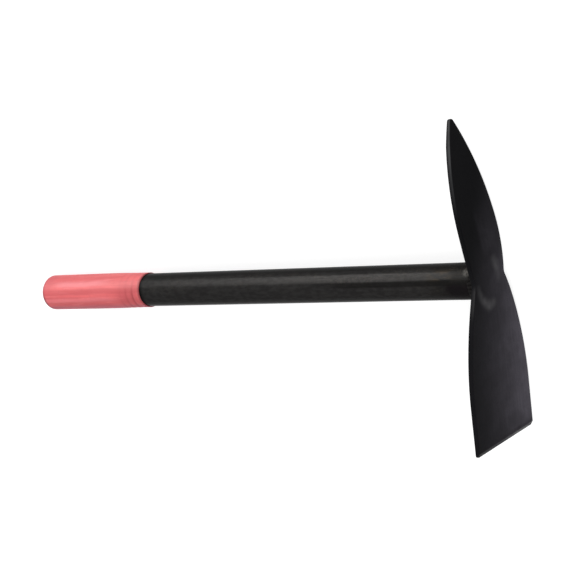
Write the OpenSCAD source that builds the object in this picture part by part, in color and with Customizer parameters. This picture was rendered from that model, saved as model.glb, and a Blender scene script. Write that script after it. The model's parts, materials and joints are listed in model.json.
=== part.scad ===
// Hand mattock: a plate head with a pick and a hoe, welded across the end of a steel tube,
// and a soft sleeve on the tube's free end. Sizes are in millimetres, angles in degrees.
// The tool is drawn along its own axes: x along the handle towards the head, y towards the
// pick and z across the blades. It is then laid down on its side, where the lower rims of
// both blades and the end of the sleeve carry it.

/* [Handle] */
// Length from the outer face of the head to the closed end of the sleeve
tool_length = 447.5; // [300:0.5:650]
// Outside diameter of the tube
tube_d = 25.4; // [20:0.1:30]
// Wall of the tube
tube_wall = 1.6; // [1:0.1:3]

/* [Grip] */
// Length of the sleeve
grip_length = 115.2; // [70:0.1:180]
// Wall of the sleeve
grip_wall = 1; // [0.8:0.1:3]
// Thickness of the sleeve's closed end
grip_end = 3; // [1.5:0.5:8]
// Rounding of the closed end
grip_round = 3.5; // [2:0.5:6]
// Rounding of the sleeve's mouth
mouth_round = 0.4; // [0.2:0.05:0.6]
// Number of ring folds near the mouth
fold_count = 3; // [1:1:5]
// From the mouth to the middle of the first fold
fold_first = 8.5; // [4:0.5:14]
// From one fold to the next
fold_pitch = 7; // [5:0.5:12]
// Width of a fold
fold_width = 4; // [2:0.5:6]
// Depth of a fold
fold_depth = 0.4; // [0.2:0.05:0.6]

/* [Pick] */
// From the handle's axis to the tip
pick_length = 112; // [90:1:150]
// Greatest width of the pick
pick_w = 38.5; // [34:0.1:46]
// From the handle's axis to the pick's widest place
pick_belly = 34; // [20:1:40]
// Rounding of the tip
tip_round = 2.2; // [0.5:0.1:5]
// Length over which the point is drawn thinner, on the inner face
point_length = 17; // [5:1:40]
// Thickness left at the tip
point_land = 2.4; // [0.5:0.1:2.4]

/* [Hoe] */
// From the handle's axis to the cutting edge
hoe_length = 116.2; // [95:0.1:150]
// Greatest width of the hoe
hoe_w = 63.4; // [50:0.1:90]
// From the handle's axis to where the hoe's sides turn straight
hoe_belly = 82; // [60:0.5:88]
// Rounding of the two corners
corner_round = 1; // [0.5:0.1:6]
// Length of the ground bevel on the outer face
bevel_length = 3.2; // [1:0.1:8]
// Thickness left at the cutting edge
edge_land = 1.4; // [0.3:0.1:2]

/* [Plate] */
// Thickness of the plate
plate_t = 3.4; // [2.5:0.1:6]
// From the handle's axis to the waist, towards the pick
waist_at = 1.2; // [0:0.1:6]
// Rounding of the waist
waist_round = 6; // [3:0.5:20]
// Radius of the bend, on the outer face
bend_r = 273; // [200:1:400]
// From the handle's axis to the foremost line of the bend, towards the pick
bend_top = 26.6; // [10:0.1:30]
// How far the pick leans back
pick_lean = 2.3; // [0.5:0.1:4]
// How far the hoe leans back
hoe_lean = 8.8; // [6:0.1:12]

/* [Weld] */
// Width of the bead on the plate
weld_leg = 3; // [2:0.1:5]
// Length of the bead along the tube
weld_run = 6; // [3:0.1:8]
// How far the bead's face bulges
weld_bulge = 0.8; // [0.2:0.1:1]

/* [Hidden] */
// Steps round a small circle, and round the long arcs of the blades
$fn = 96;
arc_steps = 720;

// Slack between pieces that touch along curved faces
fit_gap = 0.1;
// How far a cut runs past what it cuts
overrun = 1;

tube_r = tube_d / 2;
bore_r = tube_r + fit_gap;
grip_r = bore_r + grip_wall;
tube_end = tool_length - grip_end;
fold_r = (pow(fold_depth, 2) + pow(fold_width / 2, 2)) / (2 * fold_depth);

// Sides of the pick: one arc each, tangent to the rounded tip
pick_half = pick_w / 2;
tip_centre = pick_length - tip_round;
tip_run = tip_centre - pick_belly;
pick_side_r = (pow(tip_run, 2) + pow(pick_half, 2) - pow(tip_round, 2)) / (2 * (pick_half - tip_round));
pick_hub = [pick_belly, pick_half - pick_side_r];
tip_touch = tip_centre + tip_round * tip_run / (pick_side_r - tip_round);

// Sides of the hoe: one arc each, from the pick's side at the waist to the straight stretch
hoe_half = hoe_w / 2;
waist_half = pick_hub[1] + sqrt(pow(pick_side_r, 2) - pow(waist_at - pick_belly, 2));
waist_drop = hoe_half - waist_half;
hoe_side_r = (pow(hoe_belly + waist_at, 2) + pow(waist_drop, 2)) / (2 * waist_drop);
hoe_hub = [-hoe_belly, hoe_half - hoe_side_r];

// Rounded corners of the hoe, tangent to its side and to its edge
corner_y = corner_round - hoe_length;
corner_z = hoe_half - corner_round;

// Rounding of the waist: a circle that touches both sides from outside
pick_reach = pick_side_r + waist_round;
hoe_reach = hoe_side_r + waist_round;
hub_step = hoe_hub - pick_hub;
hub_dist = norm(hub_step);
hub_share = (1 + (pow(pick_reach, 2) - pow(hoe_reach, 2)) / pow(hub_dist, 2)) / 2;
hub_rise = sqrt(pow(pick_reach, 2) - pow(hub_share * hub_dist, 2));
waist_hub = pick_hub + hub_share * hub_step + hub_rise / hub_dist * [hub_step[1], -hub_step[0]];
waist_on_pick = pick_hub + (waist_hub - pick_hub) * pick_side_r / pick_reach;
waist_on_hoe = hoe_hub + (waist_hub - hoe_hub) * hoe_side_r / hoe_reach;

// Bend of the plate: its outer face crosses the handle's axis at x = 0
bend_tilt = asin(bend_top / bend_r);
bend_hub = [-bend_r * cos(bend_tilt), bend_top];
plate_reach = 2 * max(pick_length, hoe_length);
plate_span = 2 * max(pick_w, hoe_w);
hoe_start = bend_top - bend_r * sin(hoe_lean);
hoe_run = (hoe_length + hoe_start) / cos(hoe_lean);
pick_start = bend_top + bend_r * sin(pick_lean);
pick_run = (pick_length - pick_start) / cos(pick_lean);

// Round face of the weld bead, through the ends of both its legs
weld_chord = norm([weld_leg, weld_run]);
weld_r = (pow(weld_chord / 2, 2) + pow(weld_bulge, 2)) / (2 * weld_bulge);
weld_hub = [weld_leg, weld_run] / 2 - (weld_r - weld_bulge) / weld_chord * [weld_run, weld_leg];

// How the tool lies: the floor touches the lower rims of both blades and the end of the sleeve
rest_roll = atan2(-hub_step[0], -hub_step[1]) - acos((hoe_side_r - pick_side_r) / hub_dist);
rim_drop = hoe_hub[0] * sin(rest_roll) + hoe_hub[1] * cos(rest_roll) + hoe_side_r;
rim_y = hoe_hub[0] + hoe_side_r * sin(rest_roll);
rim_x = bend_hub[0] + (bend_r - plate_t) / cos(hoe_lean) + (rim_y - bend_top) * tan(hoe_lean);
rest_pitch = atan((rim_drop - grip_r) / (tool_length - grip_round + rim_x));
rest_height = rim_drop * cos(rest_pitch) - rim_x * sin(rest_pitch);
middle_x = (bend_r + bend_hub[0] - tool_length) / 2;
middle_y = ((pick_length - hoe_length) * cos(rest_roll) - corner_z * sin(rest_roll)) / 2;

// Lays the tool down, with the origin on the floor under the middle of its box
module laid() {
    translate([-middle_x, -middle_y, rest_height]) rotate([-rest_roll, -rest_pitch, 0]) children();
}

// Turns a shape that stands on z = 0 so that it runs back along the handle from x = 0
module along_handle() {
    rotate([0, -90, 0]) children();
}

// Side view: all that lies this deep or deeper behind the outer face, round the bend's hub
module behind(depth) {
    face_r = bend_r - depth;
    translate(bend_hub) {
        circle(face_r, $fn = arc_steps);
        rotate(pick_lean) square([face_r, plate_reach]);
        rotate(-hoe_lean) translate([0, -plate_reach]) square([face_r, plate_reach]);
    }
}

// All that lies less deep than this, which the tube and the weld keep out of
module before(depth) {
    linear_extrude(plate_span, center = true) difference() {
        translate([bend_hub[0] / 2, -plate_reach]) square([bend_r, 2 * plate_reach]);
        behind(depth);
    }
}

// Side view of a wedge ground off one face: its long side starts there and sinks by this slope
module ground_off(lean, start, slope) {
    translate(bend_hub) rotate(lean) polygon([
        start - slope,
        start + 2 * slope,
        start + 2 * [-slope[0], slope[1]]
    ]);
}

// Front view: the space between two mirrored side arcs, from one place along the head to another
module between_sides(hub, side_r, from_y, to_y) {
    intersection() {
        translate(hub) circle(side_r, $fn = arc_steps);
        translate([hub[0], -hub[1]]) circle(side_r, $fn = arc_steps);
        translate([from_y, -side_r]) square([to_y - from_y, 2 * side_r]);
    }
}

// Front view of the whole head: pick, hoe and the rounded waist between them
module head_outline() {
    between_sides(pick_hub, pick_side_r, waist_at, tip_touch);
    translate([tip_centre, 0]) circle(tip_round);
    between_sides(hoe_hub, hoe_side_r, -hoe_belly, waist_at);
    translate([corner_y, -hoe_half]) square([-hoe_belly - corner_y, hoe_w]);
    translate([-hoe_length, -corner_z]) square([corner_round, 2 * corner_z]);
    for (side = [0, 1]) mirror([0, side]) {
        translate([corner_y, corner_z]) circle(corner_round);
        difference() {
            polygon([waist_on_pick, waist_on_hoe, [waist_at, 0]]);
            translate(waist_hub) circle(waist_round);
        }
    }
}

// The head's front view as a block that runs through the plate along the handle
module head_block() {
    rotate([90, 0, 90]) linear_extrude(2 * plate_reach, center = true) head_outline();
}

// Half section of the sleeve, from its mouth up to its closed end
module sleeve_section() {
    difference() {
        union() {
            translate([0, mouth_round]) square([grip_r, grip_length - grip_round - mouth_round]);
            square([grip_r - mouth_round, grip_length - grip_round]);
            square([grip_r - grip_round, grip_length]);
            translate([grip_r - mouth_round, mouth_round]) circle(mouth_round);
            translate([grip_r - grip_round, grip_length - grip_round]) circle(grip_round);
        }
        translate([0, -overrun]) square([bore_r, grip_length - grip_end + overrun]);
        for (fold = [0:1:fold_count - 1]) {
            translate([grip_r + fold_r - fold_depth, fold_first + fold * fold_pitch]) circle(fold_r);
        }
    }
}

module head_blade() {
    color([0.10, 0.10, 0.11]) laid() intersection() {
        linear_extrude(plate_span, center = true) difference() {
            behind(0);
            behind(plate_t);
            ground_off(
                -hoe_lean,
                [bend_r, bevel_length - hoe_run],
                [edge_land - plate_t, -bevel_length]
            );
            ground_off(
                pick_lean,
                [bend_r - plate_t, pick_run - point_length],
                [plate_t - point_land, point_length]
            );
        }
        head_block();
    }
}

module handle_tube() {
    color([0.16, 0.16, 0.16]) laid() difference() {
        along_handle() difference() {
            cylinder(h = tube_end, r = tube_r);
            translate([0, 0, -overrun]) cylinder(h = tube_end + 2 * overrun, r = tube_r - tube_wall);
        }
        before(plate_t + fit_gap);
    }
}

module head_weld() {
    color([0.20, 0.20, 0.20]) laid() difference() {
        intersection() {
            translate(bend_hub) rotate(-bend_tilt) translate([bend_r - plate_t, 0]) along_handle()
                rotate_extrude() intersection() {
                    translate([tube_r + weld_hub[0], weld_hub[1]]) circle(weld_r);
                    translate([tube_r - tube_wall, -overrun])
                        square([tube_wall + weld_leg + overrun, weld_run + 2 * overrun]);
                }
            head_block();
        }
        along_handle() cylinder(h = bend_r, r = bore_r);
        before(plate_t + fit_gap);
    }
}

module grip_sleeve() {
    color([0.86, 0.42, 0.44]) laid() along_handle()
        translate([0, 0, tool_length - grip_length]) rotate_extrude() sleeve_section();
}

head_blade();
handle_tube();
head_weld();
grip_sleeve();
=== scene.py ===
"""Looks of the hand mattock: painted blade, painted tube, weld bead and vinyl sleeve, on a pale floor.

Pieces are modelled in the tool's own axes, in millimetres: x along the handle towards the head,
y towards the pick and z across the blades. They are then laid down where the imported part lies.
A name that ends in X, Y or Z and holds two numbers is a range over which a mark grows.
"""

import json
import math

import bpy
from mathutils import Matrix, Vector, noise


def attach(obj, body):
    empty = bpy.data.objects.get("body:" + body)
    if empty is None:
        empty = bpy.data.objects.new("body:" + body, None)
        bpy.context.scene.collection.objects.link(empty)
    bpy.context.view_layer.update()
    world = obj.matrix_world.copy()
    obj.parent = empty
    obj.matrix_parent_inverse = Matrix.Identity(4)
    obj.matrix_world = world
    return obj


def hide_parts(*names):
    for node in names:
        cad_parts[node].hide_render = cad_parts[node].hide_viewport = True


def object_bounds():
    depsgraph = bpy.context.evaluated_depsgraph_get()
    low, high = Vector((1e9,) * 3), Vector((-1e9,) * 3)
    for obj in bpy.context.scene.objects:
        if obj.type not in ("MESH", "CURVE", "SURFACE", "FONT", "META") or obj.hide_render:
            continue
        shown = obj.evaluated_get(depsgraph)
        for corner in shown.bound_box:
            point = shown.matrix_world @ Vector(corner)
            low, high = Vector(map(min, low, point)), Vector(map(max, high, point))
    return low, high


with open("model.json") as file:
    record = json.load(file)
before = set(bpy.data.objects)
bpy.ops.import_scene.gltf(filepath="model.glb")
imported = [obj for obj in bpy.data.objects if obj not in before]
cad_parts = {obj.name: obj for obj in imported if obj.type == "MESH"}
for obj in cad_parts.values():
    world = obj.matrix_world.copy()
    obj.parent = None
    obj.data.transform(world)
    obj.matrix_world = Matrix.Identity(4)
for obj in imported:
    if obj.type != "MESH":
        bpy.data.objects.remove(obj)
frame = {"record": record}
cad_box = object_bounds()

MM = 0.001
MERGE_GAP = 0.0005
QUARTER_TURN = math.pi / 2
MOUNTS = {mount["name"]: mount for mount in frame["record"]["mounts"]}

# Handle and sleeve
TOOL_LENGTH = 447.5
TUBE_R = MOUNTS["tube_clip"]["dims"]["r_mm"]
TUBE_WALL = 1.6
TUBE_SIDES = 128
FIT_GAP = 0.1
BORE_R = TUBE_R + FIT_GAP
GRIP_R = MOUNTS["grip"]["dims"]["r_mm"]
GRIP_LENGTH = 115.2
GRIP_END = 3.0
GRIP_ROUND = 3.5
TUBE_END = TOOL_LENGTH - GRIP_END
MOUTH = TOOL_LENGTH - GRIP_LENGTH
MOUTH_ROUND = 0.45
MOUTH_TAPER = 0.4
TAPER_RUN = 45.0
HOLLOW_DEPTH = 0.05
HOLLOW_LENGTH = 60.0
HOLLOW_LUMPS = 3.2
SLEEVE_SIDES = 160
SLEEVE_STEP = 0.8
MOUTH_TURN = math.pi / 8
END_TURN = math.pi / 16
END_RING_SHARES = (1.0, 0.7, 0.4, 0.1)

# Ring folds of the sleeve: how far behind its mouth they lie, and how they come and go round it
FOLDS = (8.3, 15.2, 22.0)
FOLD_WIDTH = 1.7
FOLD_DEPTH = 0.5
FOLD_SWAY = 0.7
FOLD_SWAY_LUMPS = 1.3
FOLD_SWAY_SEED = 7
FOLD_STRENGTH = 0.75
FOLD_FADE = 0.3
FOLD_UNEVEN = 0.5
FOLD_LUMPS = 1.7
FOLD_SEED_STEP = 3
FOLD_PICK_LOSS = 0.4
FOLD_LEAST = 0.15

# Painted shade round the sleeve's closed end
END_RIM_SHADE_X = (5.0 - TOOL_LENGTH, 2.4 - TOOL_LENGTH)
END_RIM_SHADE_Y = (7.0, -5.0)
END_RIM_SHADE_LEAST = 0.4
END_RIM_SHADE_RADII = (GRIP_R - GRIP_ROUND, GRIP_R - 1.2)
SLEEVE_MARKS = ("fold", "grime")

# Pick, hoe and plate
PICK_LENGTH = 112.0
PICK_HALF = 19.25
PICK_BELLY = 34.0
TIP_ROUND = 2.2
POINT_LENGTH = 17.0
POINT_LAND = 2.4
HOE_LENGTH = 116.2
HOE_HALF = 31.7
HOE_BELLY = 82.0
CORNER_ROUND = 1.0
BEVEL_LENGTH = 3.2
EDGE_LAND = 1.4
PLATE_T = 3.4
PLATE_WAVE = 0.05
WAVE_LENGTH = 24.0
WAIST_AT = 1.2
WAIST_ROUND = 6.0
BEND_R = 273.0
BEND_TOP = 26.6
PICK_LEAN = math.radians(2.3)
HOE_LEAN = math.radians(8.8)
EDGE_ROUND = 0.45
EDGE_SHARE = 0.8
WORN_ROUND = 2.8
RIM_STEPS = 4
ROW_STEP = 0.9
COLUMNS = 48
CORNER_TURN = math.radians(11)
TIP_TURN = math.radians(9)
TIP_STOP = math.radians(75)

# Weld bead, and the place on it that gets a painted glint: (y, z)
BEAD_OFF = 0.6
BEAD_R = 2.3
BEAD_RUN = 2.3
BEAD_SIDES = 306
BEAD_RING_SIDES = 24
BEAD_RIPPLES = 34
RIPPLE_SLANT = 0.25
RIPPLE_DROP = 0.09
BEAD_UNEVEN = 0.07
BEAD_LUMPS = 3
BEAD_GLINT = (10.6, 9.6)
BEAD_GLINT_WIDTH = 6.0
BEAD_MARKS = ("rubbed", "crest")

# Side arcs of the pick and the hoe, and the rounded waist between them: (along, across) of each hub
TIP_CENTRE = PICK_LENGTH - TIP_ROUND
TIP_RUN = TIP_CENTRE - PICK_BELLY
PICK_SIDE_R = (TIP_RUN**2 + PICK_HALF**2 - TIP_ROUND**2) / (2 * (PICK_HALF - TIP_ROUND))
PICK_HUB = Vector((PICK_BELLY, PICK_HALF - PICK_SIDE_R))
TIP_TOUCH = TIP_CENTRE + TIP_ROUND * TIP_RUN / (PICK_SIDE_R - TIP_ROUND)
WAIST_HALF = PICK_HUB.y + math.sqrt(PICK_SIDE_R**2 - (WAIST_AT - PICK_BELLY) ** 2)
WAIST_DROP = HOE_HALF - WAIST_HALF
HOE_SIDE_R = ((HOE_BELLY + WAIST_AT) ** 2 + WAIST_DROP**2) / (2 * WAIST_DROP)
HOE_HUB = Vector((-HOE_BELLY, HOE_HALF - HOE_SIDE_R))
CORNER_Y = CORNER_ROUND - HOE_LENGTH
CORNER_Z = HOE_HALF - CORNER_ROUND
HUB_STEP = HOE_HUB - PICK_HUB
PICK_REACH = PICK_SIDE_R + WAIST_ROUND
HOE_REACH = HOE_SIDE_R + WAIST_ROUND
HUB_SHARE = (1 + (PICK_REACH**2 - HOE_REACH**2) / HUB_STEP.length_squared) / 2
HUB_RISE = math.sqrt(PICK_REACH**2 - HUB_SHARE**2 * HUB_STEP.length_squared)
HUB_SIDE = Vector((HUB_STEP.y, -HUB_STEP.x)).normalized()
WAIST_HUB = PICK_HUB + HUB_SHARE * HUB_STEP + HUB_RISE * HUB_SIDE
WAIST_ON_PICK = PICK_HUB.x + (WAIST_HUB.x - PICK_HUB.x) * PICK_SIDE_R / PICK_REACH
WAIST_ON_HOE = HOE_HUB.x + (WAIST_HUB.x - HOE_HUB.x) * HOE_SIDE_R / HOE_REACH
BEND_TILT = math.asin(BEND_TOP / BEND_R)
BEND_HUB_X = -BEND_R * math.cos(BEND_TILT)
BEVEL_AT = BEVEL_LENGTH * math.cos(HOE_LEAN) - HOE_LENGTH
POINT_AT = PICK_LENGTH - POINT_LENGTH * math.cos(PICK_LEAN)

# How the part lies: its pitch and place from the grip, its roll from the two blades' lower rims
GRIP_AXIS = Vector(MOUNTS["grip"]["axis"])
GRIP_MIDDLE = TOOL_LENGTH - GRIP_ROUND - MOUNTS["grip"]["dims"]["length_mm"] / 2
ORIGIN = Vector(MOUNTS["grip"]["pos_m"]) - GRIP_AXIS * GRIP_MIDDLE * MM
PITCH = math.atan2(-GRIP_AXIS.z, -GRIP_AXIS.x)
RIM_TURN = math.acos((HOE_SIDE_R - PICK_SIDE_R) / HUB_STEP.length)
ROLL = math.atan2(-HUB_STEP.x, -HUB_STEP.y) - RIM_TURN
TURNED = Matrix.Rotation(-PITCH, 4, "Y") @ Matrix.Rotation(-ROLL, 4, "X")
LAID = Matrix.Translation(ORIGIN) @ TURNED @ Matrix.Scale(MM, 4)

# Marks on the head, and the distances between which its rims, its ground strip and the weld's heat ease
FACE_MARKS = ("edge", "ground", "smear", "haze", "back", "heat")
RIM_MARK = (0.5 * EDGE_ROUND, 1.2 * EDGE_ROUND)
BACK_RIM_MARK = (0.0, 0.4 * EDGE_ROUND)
GROUND_MARK = (0.0, 1.1)
HEAT_MARK = (33.0, TUBE_R)

# Smears of the weld showing through on the outer face, painted lighter as painted highlights: strokes of
# (along, across, half width, strength)
SMEARS = (
    (
        (12.4, -7.3, 5.0, 0.5),
        (8.8, -8.4, 5.6, 0.72),
        (4.3, -9.0, 4.6, 0.44),
        (-0.1, -9.4, 4.0, 0.34),
        (-3.4, -8.7, 3.4, 0.12),
    ),
    (
        (-1.0, 13.4, 3.4, 0.18),
        (-5.1, 13.0, 3.8, 0.36),
        (-9.1, 11.4, 4.2, 0.52),
        (-13.2, 7.9, 5.2, 0.62),
        (-16.2, 3.9, 5.8, 0.72),
        (-15.8, -0.3, 5.0, 0.6),
    ),
)
SMEAR_RISE = 0.1
SMEAR_LEVEL = 0.85
SMEAR_MOTTLE = 0.4
SMEAR_LUMP = 3.5

# Nick above the cutting edge: (along, across)
NICK = (-110.6, -9.6)
NICK_WIDTH = 1.5
NICK_DEPTH = 0.3

# Painted sheen, a grey painted reflection on the outer face: where across the head it begins, how wide it
# takes to grow, and how far it is drawn off at the waist, at the pick's root and along the pick
SHEEN_START = 34.0
SHEEN_WIDTH = 66.0
SHEEN_CURVE = 1.8
SHEEN_EDGE_LOSS = 0.2
SHEEN_EDGE_Y = (-96.0, -112.0)
WAIST_DRAW = 6.0
WAIST_DRAW_Y = (-60.0, -5.0)
ROOT_DRAW = 4.0
ROOT_DRAW_Y = (0.0, 14.0)
PICK_DRAW = 0.5
PICK_DRAW_FROM = 10.0

# A fainter painted sheen on the pick, a faint even one over the hoe, and dark scuffs above the cutting
# edge
PATCH = 0.08
PATCH_UPPER_Z = (4.5, 0.5)
PATCH_LOWER_Z = (-19.0, -6.0)
PATCH_ROOT_Y = (14.0, 28.0)
PATCH_TIP_Y = (56.0, 34.0)
PATCH_MOTTLE = 0.4
PATCH_LUMP = 4.0
HOE_SHEEN = 0.03
HOE_SHEEN_Y = (-4.0, -30.0)
SCUFF_LOSS = 0.42
SCUFF_Y = (-109.5, -112.0)
SCUFF_Z = (12.0, -6.0)
SCUFF_LEVEL = 0.8
SCUFF_LENGTH = 2.0
SCUFF_WIDTH = 6.0

# Camera: where it stands round the head, how it is rolled, and the pixel where the handle's axis
# meets the head's outer face
IMAGE_SIDE = 576
CAMERA_TURN = 0.786691
CAMERA_RISE = 0.225372
CAMERA_ROLL = -0.246903
CAMERA_DISTANCE = 1457.5
CAMERA_FOCUS = 2186.77
CAMERA_CLIP = 0.05
HEAD_PIXEL = (490.26, 280.42)
SENSOR = 36.0


def clear_selection():
    bpy.ops.object.select_all(action="DESELECT")


def started(name):
    """The primitive that was just added, named, with its place put into its mesh."""
    piece = bpy.context.object
    piece.name = name
    piece.data.name = name
    bpy.ops.object.transform_apply(location=True, rotation=True, scale=True)
    return piece


def edit():
    bpy.ops.object.mode_set(mode="EDIT")
    bpy.ops.mesh.select_all(action="SELECT")


def close_up(smooth_angle):
    """Merges doubles, turns all faces outwards and smooths what is flatter than the angle, in degrees."""
    edit()
    bpy.ops.mesh.remove_doubles(threshold=MERGE_GAP)
    bpy.ops.mesh.normals_make_consistent(inside=False)
    bpy.ops.object.mode_set(mode="OBJECT")
    bpy.ops.object.shade_smooth_by_angle(angle=math.radians(smooth_angle))


def new_marks(mesh, names):
    """New attributes of the mesh by name, all made before any is taken, as each one moves the others."""
    for name in names:
        mesh.attributes.new(name, "FLOAT", "POINT")
    return {name: mesh.attributes[name].data for name in names}


def place(piece, node, finish):
    """Lays a finished piece down on its CAD node, which it stands for."""
    clear_selection()
    piece.select_set(True)
    bpy.context.view_layer.objects.active = piece
    piece.matrix_world = LAID
    bpy.ops.object.transform_apply(location=True, rotation=True, scale=True)
    piece.data.materials.append(finish)
    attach(piece, "root")
    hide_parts(node)


def ease(value, low, high):
    """Rises smoothly from 0 at low to 1 at high."""
    share = min(max((value - low) / (high - low), 0.0), 1.0)
    return share * share * (3 - 2 * share)


def spaced(start, end, step):
    """Even places from start up to, but without, end."""
    count = max(round((end - start) / step), 1)
    return [start + (end - start) * i / count for i in range(count)]


# Head

def half_width(along):
    """Half the head's width at this place along it, from the cutting edge to the tip."""
    if along > TIP_TOUCH:
        return math.sqrt(max(TIP_ROUND**2 - (along - TIP_CENTRE) ** 2, 0.0))
    if along > WAIST_ON_PICK:
        return PICK_HUB.y + math.sqrt(PICK_SIDE_R**2 - (along - PICK_HUB.x) ** 2)
    if along > WAIST_ON_HOE:
        return WAIST_HUB.y - math.sqrt(WAIST_ROUND**2 - (along - WAIST_HUB.x) ** 2)
    if along > -HOE_BELLY:
        return HOE_HUB.y + math.sqrt(HOE_SIDE_R**2 - (along - HOE_HUB.x) ** 2)
    if along > CORNER_Y:
        return HOE_HALF
    return CORNER_Z + math.sqrt(max(CORNER_ROUND**2 - (along - CORNER_Y) ** 2, 0.0))


def face_x(along, depth):
    """Place along the handle of the face this deep in the plate: an arc with flats on either side."""
    radius = BEND_R - depth
    up = along - BEND_TOP
    lean = min(max(math.asin(up / radius), -HOE_LEAN), PICK_LEAN)
    flat = up - radius * math.sin(lean)
    return BEND_HUB_X + radius * math.cos(lean) - flat * math.tan(lean)


def head_rows():
    """Places along the head for its rows of points, close together round the corners and the tip."""
    corner = [CORNER_Y - CORNER_ROUND * math.cos(turn) for turn in spaced(0, QUARTER_TURN, CORNER_TURN)]
    hoe = spaced(CORNER_Y, BEVEL_AT, ROW_STEP / 2) + spaced(BEVEL_AT, 0, ROW_STEP)
    pick = spaced(0, POINT_AT, ROW_STEP) + spaced(POINT_AT, TIP_TOUCH, ROW_STEP)
    tip_start = math.asin((TIP_TOUCH - TIP_CENTRE) / TIP_ROUND)
    tip_turns = spaced(tip_start, TIP_STOP, TIP_TURN) + [TIP_STOP]
    tip = [TIP_CENTRE + TIP_ROUND * math.sin(turn) for turn in tip_turns]
    return corner + hoe + pick + tip


def across_places(half):
    """Places across the head for one row: close together over the rounding of each rim."""
    rounding = min(EDGE_ROUND, EDGE_SHARE * half)
    turns = [QUARTER_TURN * i / RIM_STEPS for i in range(RIM_STEPS)]
    rim = [half - rounding * (1 - math.cos(turn)) for turn in turns]
    inner = half - rounding
    middle = [inner - 2 * inner * i / COLUMNS for i in range(COLUMNS + 1)]
    return rim + middle + [-z for z in reversed(rim)]


def rim_fall(side_gap, end_gap):
    """How far a face falls back in the rounding of the rim, this far from its side and its end."""
    over_side = max(EDGE_ROUND - side_gap, 0.0)
    over_end = max(EDGE_ROUND - end_gap, 0.0)
    return EDGE_ROUND - math.sqrt(max(EDGE_ROUND**2 - over_side**2 - over_end**2, 0.0))


def smear(along, across):
    """Strength, from 0 to 1, of the weld's marks on the outer face."""
    spot = Vector((along, across))
    strongest = 0.0
    for stroke in SMEARS:
        for start, end in zip(stroke, stroke[1:]):
            first, run = Vector(start[:2]), Vector(end[:2]) - Vector(start[:2])
            share = min(max((spot - first).dot(run) / run.length_squared, 0.0), 1.0)
            gap = (spot - first - share * run).length
            width, strength = (a + share * (b - a) for a, b in zip(start[2:], end[2:]))
            strongest = max(strongest, strength * (1 - ease(gap, 0, width)))
    mottle = noise.noise(Vector((along, across, 0)) / SMEAR_LUMP)
    return strongest * (SMEAR_LEVEL + SMEAR_MOTTLE * mottle)


def haze(along, across):
    """Strength of the grey painted sheen, a painted reflection on the outer face: it grows across the
    head and thins up the pick.
    """
    drawn_off = (
        WAIST_DRAW * ease(along, *WAIST_DRAW_Y)
        + ROOT_DRAW * ease(along, *ROOT_DRAW_Y)
        + PICK_DRAW * max(along - PICK_DRAW_FROM, 0.0)
    )
    sheen = min(max((SHEEN_START - across - drawn_off) / SHEEN_WIDTH, 0.0), 1.0) ** SHEEN_CURVE
    sheen *= 1 - SHEEN_EDGE_LOSS * ease(along, *SHEEN_EDGE_Y)
    patch = ease(across, *PATCH_UPPER_Z) * ease(across, *PATCH_LOWER_Z)
    patch *= ease(along, *PATCH_ROOT_Y) * ease(along, *PATCH_TIP_Y)
    mottled = 1 + PATCH_MOTTLE * noise.noise(Vector((along, across, 0)) / PATCH_LUMP)
    hoe_sheen = ease(along, *HOE_SHEEN_Y)
    return sheen * dulled(along, across) + PATCH * patch * mottled + HOE_SHEEN * hoe_sheen


def dulled(along, across):
    """Share of the painted sheen that is left in the dark scuffs just above the cutting edge."""
    scuffed = ease(along, *SCUFF_Y) * ease(across, *SCUFF_Z)
    mottle = noise.noise(Vector((along / SCUFF_LENGTH, across / SCUFF_WIDTH, 0)))
    return 1 - SCUFF_LOSS * scuffed * (SCUFF_LEVEL + mottle)


def nick(along, across):
    """Strength of the small nick above the cutting edge."""
    return 1 - ease(math.dist((along, across), NICK), 0, NICK_WIDTH)


def worn_corner(along, across):
    """Draws the upper corner of the cutting edge in to the wider rounding that wear has left."""
    hub = Vector((WORN_ROUND - HOE_LENGTH, HOE_HALF - WORN_ROUND))
    off = Vector((along, across)) - hub
    if off.x < 0 < off.y and off.length > WORN_ROUND:
        return hub + WORN_ROUND * off.normalized()
    return along, across


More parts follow.
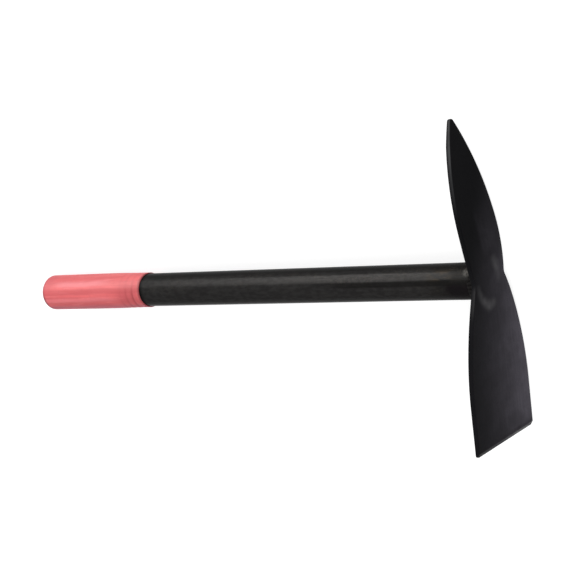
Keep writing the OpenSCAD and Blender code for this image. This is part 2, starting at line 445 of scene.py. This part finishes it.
def head_plate(finish):
    """The blade: a grid extruded to two layers, then drawn in row by row to the outline and the bend."""
    rows = head_rows()
    last_row = len(rows) - 1
    columns = COLUMNS + 2 * RIM_STEPS
    clear_selection()
    bpy.ops.mesh.primitive_grid_add(x_subdivisions=columns, y_subdivisions=last_row, size=1)
    piece = started("blade")
    edit()
    bpy.ops.mesh.extrude_region_move(TRANSFORM_OT_translate={"value": (0, 0, -1)})
    bpy.ops.object.mode_set(mode="OBJECT")
    mesh = piece.data
    marks = new_marks(mesh, FACE_MARKS)
    across = [across_places(half_width(y)) for y in rows]
    for index, vertex in enumerate(mesh.vertices):
        row = round((vertex.co.y + 0.5) * last_row)
        y = rows[row]
        z = across[row][round((vertex.co.x + 0.5) * columns)]
        side_gap = half_width(y) - abs(z)
        fall = rim_fall(side_gap, min(y - rows[0], rows[-1] - y))
        wave = PLATE_WAVE * noise.noise(Vector((y, z, 0)) / WAVE_LENGTH)
        rim = 1 - ease(side_gap, *RIM_MARK)
        outer = vertex.co.z > -0.5
        if outer:
            ground = max(BEVEL_AT - y, 0.0) / (BEVEL_AT + HOE_LENGTH) * (PLATE_T - EDGE_LAND)
            rise = SMEAR_RISE * smear(y, z) - NICK_DEPTH * nick(y, z)
            depth = ground + fall - rise + wave
            marks["edge"][index].value = rim
            marks["ground"][index].value = ease(BEVEL_AT - y, *GROUND_MARK)
            marks["smear"][index].value = smear(y, z)
            marks["haze"][index].value = haze(y, z)
        else:
            thin = max(y - POINT_AT, 0.0) / (PICK_LENGTH - POINT_AT) * (PLATE_T - POINT_LAND)
            depth = PLATE_T - thin - fall + wave
            marks["edge"][index].value = rim * ease(side_gap, *BACK_RIM_MARK)
            marks["back"][index].value = ease(side_gap, 0, EDGE_ROUND)
            marks["heat"][index].value = ease(math.hypot(y, z), *HEAT_MARK)
        y, z = worn_corner(y, z)
        vertex.co = face_x(y, depth), y, z
    close_up(smooth_angle=28)
    place(piece, "head_blade", finish)


# Tube and weld

def handle(finish):
    """The tube: its end is cut along the back of the plate, and the wall goes inwards."""
    clear_selection()
    bpy.ops.mesh.primitive_cylinder_add(
        vertices=TUBE_SIDES,
        radius=TUBE_R,
        depth=TUBE_END,
        end_fill_type="NOTHING",
        location=(-TUBE_END / 2, 0, 0),
        rotation=(0, QUARTER_TURN, 0),
    )
    piece = started("tube")
    edit()
    bpy.ops.mesh.bisect(
        plane_co=(face_x(0, PLATE_T - EDGE_ROUND), 0, 0),
        plane_no=(math.cos(BEND_TILT), -math.sin(BEND_TILT), 0),
        clear_outer=True,
    )
    bpy.ops.object.mode_set(mode="OBJECT")
    wall = piece.modifiers.new("wall", "SOLIDIFY")
    wall.thickness = TUBE_WALL
    wall.offset = -1
    bpy.ops.object.modifier_apply(modifier=wall.name)
    close_up(smooth_angle=40)
    place(piece, "handle_tube", finish)
    return piece


def weld_bead(finish):
    """The bead round the tube, laid in overlapping ripples along the back of the plate."""
    middle = TUBE_R + BEAD_OFF
    clear_selection()
    bpy.ops.mesh.primitive_torus_add(
        major_radius=middle,
        minor_radius=BEAD_R,
        major_segments=BEAD_SIDES,
        minor_segments=BEAD_RING_SIDES,
        rotation=(0, QUARTER_TURN, 0),
    )
    piece = started("bead")
    mesh = piece.data
    marks = new_marks(mesh, BEAD_MARKS)
    for index, vertex in enumerate(mesh.vertices):
        x, y, z = vertex.co
        angle = math.atan2(z, y)
        ripple = (angle / math.tau * BEAD_RIPPLES + RIPPLE_SLANT * x / BEAD_R) % 1.0
        marks["rubbed"][index].value = 1 - ease(math.dist((y, z), BEAD_GLINT), 0, BEAD_GLINT_WIDTH)
        marks["crest"][index].value = 1 - ripple
        lumps = noise.noise(Vector((BEAD_LUMPS * math.cos(angle), BEAD_LUMPS * math.sin(angle), 0)))
        size = 1 - RIPPLE_DROP * ripple + BEAD_UNEVEN * lumps
        radius = middle + (math.hypot(y, z) - middle) * size
        foot = face_x(TUBE_R * math.cos(angle), PLATE_T) - BEAD_OFF
        run = x * size * (BEAD_RUN if x < 0 else 1)
        vertex.co = foot + run, radius * math.cos(angle), radius * math.sin(angle)
    close_up(smooth_angle=60)
    place(piece, "head_weld", finish)


# Sleeve

def sleeve_radius(back):
    """Outside radius of the sleeve this far behind its mouth: it draws in a little towards the mouth."""
    return GRIP_R - MOUTH_TAPER * (1 - ease(back, 0, TAPER_RUN))


def sleeve_profile():
    """Steps (place, radius) out of the sleeve's bore, round its lip and back to its closed end."""
    lip = sleeve_radius(0) - MOUTH_ROUND
    steps = [(-MOUTH, BORE_R)]
    for turn in spaced(0, QUARTER_TURN, MOUTH_TURN):
        at = -MOUTH - MOUTH_ROUND * (1 - math.cos(turn))
        steps.append((at, lip + MOUTH_ROUND * math.sin(turn)))
    for back in spaced(MOUTH_ROUND, GRIP_LENGTH - GRIP_ROUND, SLEEVE_STEP):
        steps.append((-MOUTH - back, sleeve_radius(back)))
    for turn in spaced(0, QUARTER_TURN, END_TURN):
        at = GRIP_ROUND - TOOL_LENGTH - GRIP_ROUND * math.sin(turn)
        steps.append((at, GRIP_R - GRIP_ROUND * (1 - math.cos(turn))))
    steps += [(-TOOL_LENGTH, share * (GRIP_R - GRIP_ROUND)) for share in END_RING_SHARES]
    return steps


def sleeve_folds(back, turn):
    """How deep the ring folds near the mouth are, from 0 to 1: they come and go round the sleeve."""
    sway = FOLD_SWAY * noise.noise(turn * FOLD_SWAY_LUMPS + Vector((0, 0, FOLD_SWAY_SEED)))
    deepest = 0.0
    for i, fold in enumerate(FOLDS):
        off = (back - fold - sway) / FOLD_WIDTH
        uneven = FOLD_UNEVEN * noise.noise(turn * FOLD_LUMPS + Vector((0, 0, FOLD_SEED_STEP * i)))
        strength = FOLD_STRENGTH - FOLD_FADE * i + uneven - FOLD_PICK_LOSS * turn.x
        deepest = max(deepest, max(strength, FOLD_LEAST) * math.exp(-2 * off * off))
    return min(deepest, 1.0)


def grip_skin(finish):
    """The sleeve: a disc extruded and scaled ring by ring along its profile, then folded at its mouth."""
    clear_selection()
    bpy.ops.mesh.primitive_circle_add(
        vertices=SLEEVE_SIDES,
        radius=BORE_R,
        fill_type="NGON",
        location=(-TUBE_END, 0, 0),
        rotation=(0, QUARTER_TURN, 0),
    )
    piece = started("sleeve")
    edit()
    at, radius = -TUBE_END, BORE_R
    for next_at, next_radius in sleeve_profile():
        bpy.ops.mesh.extrude_region_move(TRANSFORM_OT_translate={"value": (next_at - at, 0, 0)})
        share = next_radius / radius
        bpy.ops.transform.resize(value=(1, share, share), center_override=(next_at, 0, 0))
        at, radius = next_at, next_radius
    bpy.ops.object.mode_set(mode="OBJECT")
    mesh = piece.data
    marks = new_marks(mesh, SLEEVE_MARKS)
    for index, vertex in enumerate(mesh.vertices):
        x, y, z = vertex.co
        radius = math.hypot(y, z)
        if radius > BORE_R + MOUTH_ROUND / 2:
            back = -MOUTH - x
            turn = Vector((y, z, 0)).normalized()
            fold = sleeve_folds(back, turn)
            hollow = noise.noise(turn * HOLLOW_LUMPS + Vector((0, 0, back / HOLLOW_LENGTH)))
            share = 1 - (FOLD_DEPTH * fold + HOLLOW_DEPTH * hollow) / radius
            vertex.co = x, y * share, z * share
            marks["fold"][index].value = fold
        shade_share = END_RIM_SHADE_LEAST + (1 - END_RIM_SHADE_LEAST) * ease(y, *END_RIM_SHADE_Y)
        marks["grime"][index].value = ease(x, *END_RIM_SHADE_X) * shade_share * ease(radius, *END_RIM_SHADE_RADII)
    close_up(smooth_angle=50)
    place(piece, "grip_sleeve", finish)
    return piece


# Finishes

# Sockets of a colour mix, by number, because its number, vector and colour sockets share their names
MIX_FACTOR = 0
MIX_FIRST = 6
MIX_SECOND = 7
MIX_RESULT = 2


class Finish:
    """One material, laid on coat by coat over a first colour, with patterns in the tool's own axes."""

    def __init__(self, name, colour, specular):
        self.colour = (*colour, 1.0)
        self.material = bpy.data.materials.new(name)
        self.material.use_nodes = True
        self.tree = self.material.node_tree
        self.shader = self.tree.nodes["Principled BSDF"]
        self.shader.inputs["Specular IOR Level"].default_value = specular
        seat = self.node("ShaderNodeTexCoord").outputs["Object"]
        self.spot = self.node(
            "ShaderNodeMapping",
            {"Vector": seat, "Location": ORIGIN, "Rotation": TURNED.to_euler(), "Scale": (MM, MM, MM)},
            vector_type="TEXTURE",
        ).outputs["Vector"]
        self.axes = self.node("ShaderNodeSeparateXYZ", {"Vector": self.spot}).outputs

    def node(self, kind, sockets=None, **settings):
        """A new node with these settings, whose sockets are linked or set."""
        made = self.tree.nodes.new(kind)
        for setting, value in settings.items():
            setattr(made, setting, value)
        for socket, value in (sockets or {}).items():
            if isinstance(value, bpy.types.NodeSocket):
                self.tree.links.new(value, made.inputs[socket])
            else:
                made.inputs[socket].default_value = value
        return made

    def noise(self, size, detail=3.0):
        """Noise whose lumps have this size, or these sizes along x, y and z."""
        sizes = size if isinstance(size, tuple) else (size, size, size)
        spot = self.node("ShaderNodeVectorMath", {0: self.spot, 1: sizes}, operation="DIVIDE").outputs[0]
        sockets = {"Vector": spot, "Scale": 1.0, "Detail": detail}
        return self.node("ShaderNodeTexNoise", sockets).outputs["Fac"]

    def distance(self, spot):
        """How far the surface is from this spot."""
        sockets = {0: self.spot, 1: spot}
        return self.node("ShaderNodeVectorMath", sockets, operation="DISTANCE").outputs["Value"]

    def span(self, value, low, high, start=0.0, end=1.0):
        """Goes smoothly from start to end as the value goes from low to high."""
        sockets = {"Value": value, "From Min": low, "From Max": high, "To Min": start, "To Max": end}
        made = self.node("ShaderNodeMapRange", sockets, interpolation_type="SMOOTHSTEP")
        return made.outputs["Result"]

    def sum(self, first, second):
        return self.node("ShaderNodeMath", {0: first, 1: second}, operation="ADD").outputs[0]

    def product(self, *values):
        result = values[0]
        for value in values[1:]:
            result = self.node("ShaderNodeMath", {0: result, 1: value}, operation="MULTIPLY").outputs[0]
        return result

    def mark(self, name):
        """One of the piece's own attributes."""
        return self.node("ShaderNodeAttribute", attribute_name=name).outputs["Fac"]

    def coat(self, colour, *shares):
        """Lays a colour over what is there, covering it by the product of these shares."""
        cover = self.product(*shares)
        sockets = {MIX_FACTOR: cover, MIX_FIRST: self.colour, MIX_SECOND: (*colour, 1.0)}
        self.colour = self.node("ShaderNodeMix", sockets, data_type="RGBA").outputs[MIX_RESULT]

    def finished(self, roughness, height, depth):
        """The material, with its colour, this roughness and relief of this depth in millimetres."""
        sockets = {"Height": height, "Distance": depth * MM, "Strength": 1.0}
        relief = self.node("ShaderNodeBump", sockets).outputs["Normal"]
        for socket, value in (("Base Color", self.colour), ("Roughness", roughness), ("Normal", relief)):
            self.tree.links.new(value, self.shader.inputs[socket])
        return self.material


# Colours and places of the blade's paint
BLADE_BLACK = (0.004, 0.004, 0.0047)
BLADE_CLOUD = (0.0062, 0.0062, 0.007)
SHEEN_GREY = (0.114, 0.105, 0.126)
BACK_DUST = (0.034, 0.033, 0.036)
HEAT_BROWN = (0.034, 0.026, 0.019)
BARE_RIM = (0.055, 0.055, 0.057)
WORN_AND_LIT_RIM = (0.075, 0.075, 0.077)
LIT_WALL_GREY = (0.034, 0.033, 0.034)
SMEAR_HIGHLIGHT_GREY = (0.105, 0.102, 0.107)
GROUND_STEEL = (0.17, 0.17, 0.17)
WORN_AND_LIT_RIM_Y = (45.0, 98.0)
WALL_Z = (0.0, 10.0)
WALL_HOE_Y = (-24.0, -11.0)
WALL_PICK_Y = (3.0, -4.0)
GROUND_Z = (6.0, -20.0)


def blade_paint():
    """Satin black, greyed by a painted sheen, worn at the rims, with painted highlights on the rims and
    the weld's marks, and burnt round the weld on its back.
    """
    paint = Finish("blade_paint", BLADE_BLACK, specular=0.022)
    y, z = paint.axes[1], paint.axes[2]
    back, edge = paint.mark("back"), paint.mark("edge")
    cloud = paint.noise(14.0)
    streaks = paint.noise((3.0, 40.0, 1.6), detail=4.0)
    uneven = paint.product(
        paint.span(cloud, 0.3, 0.7, start=0.85, end=1.15),
        paint.span(streaks, 0.2, 0.8, start=0.88, end=1.12),
    )
    dust = paint.span(paint.noise(30.0, detail=4.0), 0.3, 0.7, start=0.15)
    burns = paint.span(paint.noise(4.0), 0.3, 0.65)
    scuffs = paint.span(paint.noise((2.0, 2.0, 5.0), detail=5.0), 0.35, 0.62)
    paint.coat(BLADE_CLOUD, cloud)
    # Painted sheen: a grey painted reflection laid across the outer face
    paint.coat(SHEEN_GREY, paint.mark("haze"), uneven)
    paint.coat(BACK_DUST, back, dust, uneven)
    paint.coat(HEAT_BROWN, paint.mark("heat"), burns)
    paint.coat(BARE_RIM, back, edge, paint.span(streaks, 0.35, 0.65, end=0.5))
    # Rims worn towards the pick's tip, and also painted lighter there as a painted highlight where they
    # catch the light
    paint.coat(WORN_AND_LIT_RIM, edge, paint.span(y, *WORN_AND_LIT_RIM_Y), paint.span(cloud, 0.3, 0.6, start=0.7))
    # Painted highlight on the upper side walls, left out at the waist
    paint.coat(
        LIT_WALL_GREY,
        edge,
        paint.span(z, *WALL_Z),
        paint.span(y, *WALL_HOE_Y),
        paint.span(y, *WALL_PICK_Y, end=0.9),
    )
    # Weld marks showing through, painted lighter as a painted highlight on their low ridge
    paint.coat(SMEAR_HIGHLIGHT_GREY, paint.mark("smear"))
    paint.coat(GROUND_STEEL, paint.mark("ground"), paint.span(z, *GROUND_Z), scuffs)
    roughness = paint.span(streaks, 0.2, 0.8, start=0.36, end=0.5)
    return paint.finished(roughness, paint.sum(paint.noise(1.3, detail=2.0), streaks), depth=0.03)


# Colours and places of the tube's paint
TUBE_BLACK = (0.0205, 0.0198, 0.0196)
TUBE_GREY = (0.031, 0.03, 0.0296)
TUBE_MOTTLE = (0.0105, 0.0096, 0.0096)
TUBE_DEEP = (0.006, 0.0058, 0.0056)
MOUTH_SHADOW_BLACK = (0.003, 0.0028, 0.0028)
SCORCH_TAN = (0.038, 0.029, 0.02)
DUST_TAN = (0.05, 0.043, 0.034)
PLUM_BLACK = (0.0078, 0.0062, 0.0072)
SHADE_LINE_BLACK = (0.006, 0.0058, 0.0054)
TUBE_GLINT_GREY = (0.085, 0.08, 0.073)
HEAD_DARK_X = (-58.0, -14.0)
MOUTH_SHADOW_X = (4.5 - MOUTH, 0.5 - MOUTH)
SCORCH_GRIP_X = (-50.0, -34.0)
SCORCH_HEAD_X = (-20.0, -27.0)
SCORCH_LOWER_Y = (3.0, 6.0)
SCORCH_UPPER_Y = (10.9, 9.6)
DUST_X = (-100.0, -45.0)
DUST_Y = (0.0, 5.0)
PLUM_X = (-24.0, -17.0)
PLUM_Y = (4.5, 0.0)
PLUM_RAGGED = 16.0
SHADE_LINE_X = (-170.0, -110.0)
SHADE_LINE_LOWER_Y = (0.4, 1.8)
SHADE_LINE_UPPER_Y = (5.6, 4.0)
PICK_SIDE_SHADE_Y = (10.4, 12.0)
DULL_X = (-29.0, -21.0)
TUBE_GLINT = (-11.2, 9.4, 8.6)
TUBE_GLINT_REACH = (4.6, 1.6)


def tube_paint():
    """Semi-gloss black with a fine grain, tan with scorched specks near the weld and dull next to it,
    with painted shadow, painted shade and a painted glint.
    """
    paint = Finish("tube_paint", TUBE_BLACK, specular=0.008)
    x, y = paint.axes[0], paint.axes[1]
    grain = paint.noise((40.0, 1.1, 1.1))
    mottle = paint.span(paint.noise((6.0, 2.2, 2.2)), 0.36, 0.64, end=0.42)
    specks = paint.span(paint.noise((9.0, 3.0, 3.0)), 0.4, 0.7)
    grit = paint.span(paint.noise((2.0, 1.0, 1.0)), 0.45, 0.7, end=0.3)
    drifts = paint.span(paint.noise((60.0, 9.0, 9.0), detail=2.0), 0.4, 0.6)
    glint_mottle = paint.span(paint.noise(1.6), 0.3, 0.55)
    ragged_x = paint.sum(x, paint.product(paint.noise(7.0), PLUM_RAGGED))
    paint.coat(TUBE_GREY, grain)
    paint.coat(TUBE_MOTTLE, mottle)
    paint.coat(TUBE_DEEP, paint.span(x, *HEAD_DARK_X, end=0.7))
    # Painted shadow of the sleeve's lip on the tube next to its mouth
    paint.coat(MOUTH_SHADOW_BLACK, paint.span(x, *MOUTH_SHADOW_X, end=0.85))
    paint.coat(
        SCORCH_TAN,
        specks,
        paint.span(x, *SCORCH_GRIP_X),
        paint.span(x, *SCORCH_HEAD_X, start=0.2),
        paint.span(y, *SCORCH_LOWER_Y, start=0.1),
        paint.span(y, *SCORCH_UPPER_Y, start=0.1),
    )
    paint.coat(
        DUST_TAN,
        grit,
        drifts,
        paint.span(y, *DUST_Y, start=0.2),
        paint.span(x, *DUST_X, start=1.0, end=2.4),
    )
    paint.coat(PLUM_BLACK, paint.span(ragged_x, *PLUM_X, end=0.8), paint.span(y, *PLUM_Y))
    # Painted shade: a dark line just under the gloss band, towards the head
    paint.coat(
        SHADE_LINE_BLACK,
        paint.span(x, *SHADE_LINE_X),
        paint.span(y, *SHADE_LINE_LOWER_Y),
        paint.span(y, *SHADE_LINE_UPPER_Y, end=0.6),
    )
    # Painted dark reflection along the side of the tube that faces the pick
    paint.coat(TUBE_DEEP, paint.span(y, *PICK_SIDE_SHADE_Y, end=0.65))
    # Painted glint on the tube next to the weld
    paint.coat(TUBE_GLINT_GREY, paint.span(paint.distance(TUBE_GLINT), *TUBE_GLINT_REACH), glint_mottle)
    polish = paint.span(grain, 0.2, 0.8, start=0.16, end=0.26)
    roughness = paint.sum(polish, paint.span(x, *DULL_X, end=0.14))
    return paint.finished(roughness, paint.sum(paint.noise(1.1, detail=2.0), grain), depth=0.02)


# Colours of the weld's paint
WELD_BLACK = (0.0045, 0.0042, 0.0042)
WELD_POOL = (0.01, 0.009, 0.0085)
WELD_CREST_HIGHLIGHT = (0.021, 0.02, 0.0195)
WELD_GLINT_GREY = (0.12, 0.112, 0.105)


def weld_paint():
    """Black paint in small pools, with a painted highlight on the ripples' crests and a painted glint in
    one place.
    """
    paint = Finish("weld_paint", WELD_BLACK, specular=0.002)
    pools = paint.noise(1.6)
    paint.coat(WELD_POOL, pools)
    # Painted highlight on the crests of the ripples
    paint.coat(WELD_CREST_HIGHLIGHT, paint.span(paint.mark("crest"), 0.1, 0.95, end=0.72))
    # Painted glint in one place on the bead
    paint.coat(WELD_GLINT_GREY, paint.mark("rubbed"), paint.span(pools, 0.3, 0.55))
    roughness = paint.span(pools, 0.2, 0.8, start=0.24, end=0.4)
    return paint.finished(roughness, paint.noise(0.9), depth=0.06)


# Colours and places of the sleeve's vinyl
PINK_DEEP = (0.72, 0.14, 0.148)
PINK = (0.85, 0.18, 0.185)
WISP_PINK = (0.9, 0.26, 0.27)
STREAK_RED = (0.6, 0.11, 0.12)
UPPER_HIGHLIGHT_PINK = (0.95, 0.36, 0.39)
LOWER_HIGHLIGHT_PINK = (0.88, 0.27, 0.3)
UNDERSIDE_SHADE_MAUVE = (0.46, 0.125, 0.19)
CLOSING_SHADE_RED = (0.58, 0.105, 0.12)
GATHERED_RED = (0.5, 0.095, 0.105)
FOLD_SHADE_RED = (0.42, 0.065, 0.072)
LIP_SHADE_BROWN = (0.24, 0.05, 0.055)
END_RIM_SHADE_BROWN = (0.14, 0.032, 0.05)
STREAK_SWAY = 3.0
UPPER_RISE_Y = (8.4, 10.2)
UPPER_FALL_Y = (13.4, 11.4)
UPPER_MOUTH_X = (-360.0, -385.0)
UPPER_END_X = (-438.0, -420.0)
LOWER_RISE_Y = (-4.2, -2.0)
LOWER_FALL_Y = (1.4, -0.8)
LOWER_MOUTH_X = (-350.0, -376.0)
LOWER_COVER = 0.4
DEEP_RISE_Y = (2.4, 4.6)
DEEP_FALL_Y = (8.4, 6.4)
UNDERSIDE_SHADE_Y = (-6.0, -11.0)
CLOSING_X = (-426.0, -440.0)
CLOSING_Y = (3.0, 8.0)
GATHERED_END_X = (-366.0, -346.0)
GATHERED_MOUTH_X = (-334.0, -336.0)
GATHERED_UPPER_Y = (11.0, 5.5)
GATHERED_LOWER_Y = (-12.0, -4.0)
FOLD_SHADE_COVER = 0.7
LIP_SHADE_X = (-3.4 - MOUTH, -0.3 - MOUTH)


def vinyl():
    """Soft pink vinyl with deep streaks along the handle, painted highlight streaks, and painted shade
    underneath, in its folds, at its lip and round its closed end.
    """
    skin = Finish("vinyl", PINK_DEEP, specular=0.04)
    x, y = skin.axes[0], skin.axes[1]
    streaks = skin.noise((46.0, 4.5, 4.5))
    wisps = skin.noise((18.0, 1.8, 1.8))
    mottle = skin.noise(3.0)
    sway_y = skin.sum(y, skin.product(skin.noise((30.0, 400.0, 400.0), detail=2.0), STREAK_SWAY))
    skin.coat(PINK, skin.span(streaks, 0.3, 0.7))
    skin.coat(WISP_PINK, skin.span(wisps, 0.52, 0.75, end=0.4))
    skin.coat(STREAK_RED, skin.span(mottle, 0.5, 0.75, end=0.18))
    # Painted highlight streak along the upper side
    skin.coat(
        UPPER_HIGHLIGHT_PINK,
        skin.span(sway_y, *UPPER_RISE_Y),
        skin.span(sway_y, *UPPER_FALL_Y),
        skin.span(x, *UPPER_MOUTH_X),
        skin.span(x, *UPPER_END_X, end=0.34),
    )
    # Fainter painted highlight streak lower down the side
    skin.coat(
        LOWER_HIGHLIGHT_PINK,
        skin.span(sway_y, *LOWER_RISE_Y),
        skin.span(sway_y, *LOWER_FALL_Y),
        skin.span(x, *LOWER_MOUTH_X),
        LOWER_COVER,
    )
    skin.coat(STREAK_RED, skin.span(sway_y, *DEEP_RISE_Y), skin.span(sway_y, *DEEP_FALL_Y, end=0.6))
    # Painted shade along the sleeve's underside
    skin.coat(UNDERSIDE_SHADE_MAUVE, skin.span(y, *UNDERSIDE_SHADE_Y, end=0.55))
    # Painted shade on the upper side near the closed end, where the gloss band is held back
    skin.coat(CLOSING_SHADE_RED, skin.span(x, *CLOSING_X, end=0.5), skin.span(y, *CLOSING_Y))
    skin.coat(
        GATHERED_RED,
        skin.span(x, *GATHERED_END_X),
        skin.span(x, *GATHERED_MOUTH_X),
        skin.span(y, *GATHERED_UPPER_Y),
        skin.span(y, *GATHERED_LOWER_Y, start=0.1, end=0.5),
    )
    # Painted shade in the ring folds
    skin.coat(FOLD_SHADE_RED, skin.mark("fold"), FOLD_SHADE_COVER)
    # Painted shade where the lip rolls over towards the tube
    skin.coat(LIP_SHADE_BROWN, skin.span(x, *LIP_SHADE_X, end=0.65))
    # Painted shade round the rim of the closed end
    skin.coat(END_RIM_SHADE_BROWN, skin.mark("grime"), skin.span(mottle, 0.2, 0.6, start=0.65))
    roughness = skin.span(wisps, 0.25, 0.75, start=0.34, end=0.5)
    return skin.finished(roughness, skin.sum(skin.noise((9.0, 1.4, 1.4)), mottle), depth=0.05)


# Stage

AMBIENT = 0.44
WHITE = (1.0, 1.0, 1.0, 1.0)
GLOSS_TINT = (1.0, 0.96, 0.91)
FLOOR_SIDE = 40.0
FLOOR_GAP = 0.0002
FLOOR_GLOW = 0.74
FLOOR_COLOUR = (0.5, 0.5, 0.5, 1.0)


def seen_directly(tree):
    """1 for rays from the camera, from gloss and through glass, 0 for the light that falls on things."""
    path = tree.nodes.new("ShaderNodeLightPath")
    total = path.outputs["Is Camera Ray"]
    for ray in ("Is Glossy Ray", "Is Transmission Ray"):
        either = tree.nodes.new("ShaderNodeMath")
        either.operation = "MAXIMUM"
        tree.links.new(total, either.inputs[0])
        tree.links.new(path.outputs[ray], either.inputs[1])
        total = either.outputs[0]
    return total


def surroundings():
    """White to look at, and a dimmer even light on the object."""
    world = bpy.data.worlds.new("surroundings")
    bpy.context.scene.world = world
    world.use_nodes = True
    tree = world.node_tree
    level = tree.nodes.new("ShaderNodeMapRange")
    level.inputs["To Min"].default_value = AMBIENT
    level.inputs["To Max"].default_value = 1.0
    tree.links.new(seen_directly(tree), level.inputs["Value"])
    background = tree.nodes["Background"]
    background.inputs["Color"].default_value = WHITE
    tree.links.new(level.outputs["Result"], background.inputs["Strength"])


def floor():
    """A white floor that glows a little where it is seen, and keeps a soft shadow."""
    clear_selection()
    bpy.ops.mesh.primitive_plane_add(size=FLOOR_SIDE, location=(0, 0, cad_box[0].z - FLOOR_GAP))
    piece = started("floor")
    material = bpy.data.materials.new("floor_white")
    material.use_nodes = True
    tree = material.node_tree
    tree.nodes.remove(tree.nodes["Principled BSDF"])
    paint = tree.nodes.new("ShaderNodeBsdfDiffuse")
    paint.inputs["Color"].default_value = FLOOR_COLOUR
    glow = tree.nodes.new("ShaderNodeEmission")
    level = tree.nodes.new("ShaderNodeMath")
    level.operation = "MULTIPLY"
    level.inputs[1].default_value = FLOOR_GLOW
    both = tree.nodes.new("ShaderNodeAddShader")
    tree.links.new(seen_directly(tree), level.inputs[0])
    tree.links.new(level.outputs[0], glow.inputs["Strength"])
    tree.links.new(paint.outputs[0], both.inputs[0])
    tree.links.new(glow.outputs[0], both.inputs[1])
    tree.links.new(both.outputs[0], tree.nodes["Material Output"].inputs["Surface"])
    piece.data.materials.append(material)


def softbox(name, along, reach, turn, size, power):
    """A soft lamp that runs beside the handle and faces it, in metres, degrees and watts.

    It stands this far along the handle from the head and this far out, turned from upright
    towards the pick.
    """
    angle = math.radians(turn)
    out = Vector((0, math.sin(angle), math.cos(angle)))
    axes = Matrix((Vector((1, 0, 0)), out.cross((1, 0, 0)), out)).transposed().to_4x4()
    spot = Matrix.Translation(out * reach + Vector((along, 0, 0)))
    bpy.ops.object.light_add(type="AREA")
    lamp = bpy.context.object
    lamp.name = name
    lamp.data.shape = "RECTANGLE"
    lamp.data.size, lamp.data.size_y = size
    lamp.data.energy = power
    lamp.matrix_world = Matrix.Translation(ORIGIN) @ TURNED @ spot @ axes
    lamp.visible_camera = False
    return lamp


def gloss(name, pieces, **stand):
    """A warm softbox that shows only as a band in the gloss of these pieces."""
    lamp = softbox(name, **stand)
    lamp.data.color = GLOSS_TINT
    lamp.visible_diffuse = False
    shown_on = bpy.data.collections.new(name)
    for piece in pieces:
        shown_on.objects.link(piece)
    lamp.light_linking.receiver_collection = shown_on


def camera():
    """The photograph's camera, set round the head in the tool's axes and laid down with it."""
    turn, rise, roll = CAMERA_TURN, CAMERA_RISE, CAMERA_ROLL
    back = Vector((math.sin(turn) * math.cos(rise), math.sin(rise), math.cos(turn) * math.cos(rise)))
    right = Vector((math.cos(turn), 0, -math.sin(turn)))
    up = back.cross(right)
    right, up = (
        math.cos(roll) * right + math.sin(roll) * up,
        math.cos(roll) * up - math.sin(roll) * right,
    )
    pixel_size = CAMERA_DISTANCE / CAMERA_FOCUS
    off_x, off_y = (pixel_size * (pixel - IMAGE_SIDE / 2) for pixel in HEAD_PIXEL)
    spot = CAMERA_DISTANCE * back - off_x * right + off_y * up
    bpy.ops.object.camera_add()
    made = bpy.context.object
    axes = Matrix((right, up, back)).transposed().to_4x4()
    made.matrix_world = Matrix.Translation(LAID @ spot) @ TURNED @ axes
    made.data.sensor_width = SENSOR
    made.data.lens = CAMERA_FOCUS / IMAGE_SIDE * SENSOR
    made.data.clip_start = CAMERA_CLIP
    bpy.context.scene.camera = made


camera()
surroundings()
floor()
softbox("key", along=-2.68, reach=2.68, turn=58, size=(1.5, 2.7), power=130)
softbox("fill", along=0.9, reach=1.5, turn=-14, size=(1.2, 1.2), power=13)
head_plate(blade_paint())
weld_bead(weld_paint())
handle_pieces = [handle(tube_paint()), grip_skin(vinyl())]
gloss("side_gloss", handle_pieces, along=-2.12, reach=2.68, turn=54, size=(1.7, 2.5), power=440)
gloss("head_gloss", handle_pieces, along=2.2, reach=2.4, turn=-20, size=(1.7, 1.6), power=170)
gloss("top_gloss", handle_pieces, along=-0.2, reach=2.0, turn=10, size=(1.6, 0.9), power=70)

bpy.context.scene.view_settings.view_transform = "Standard"
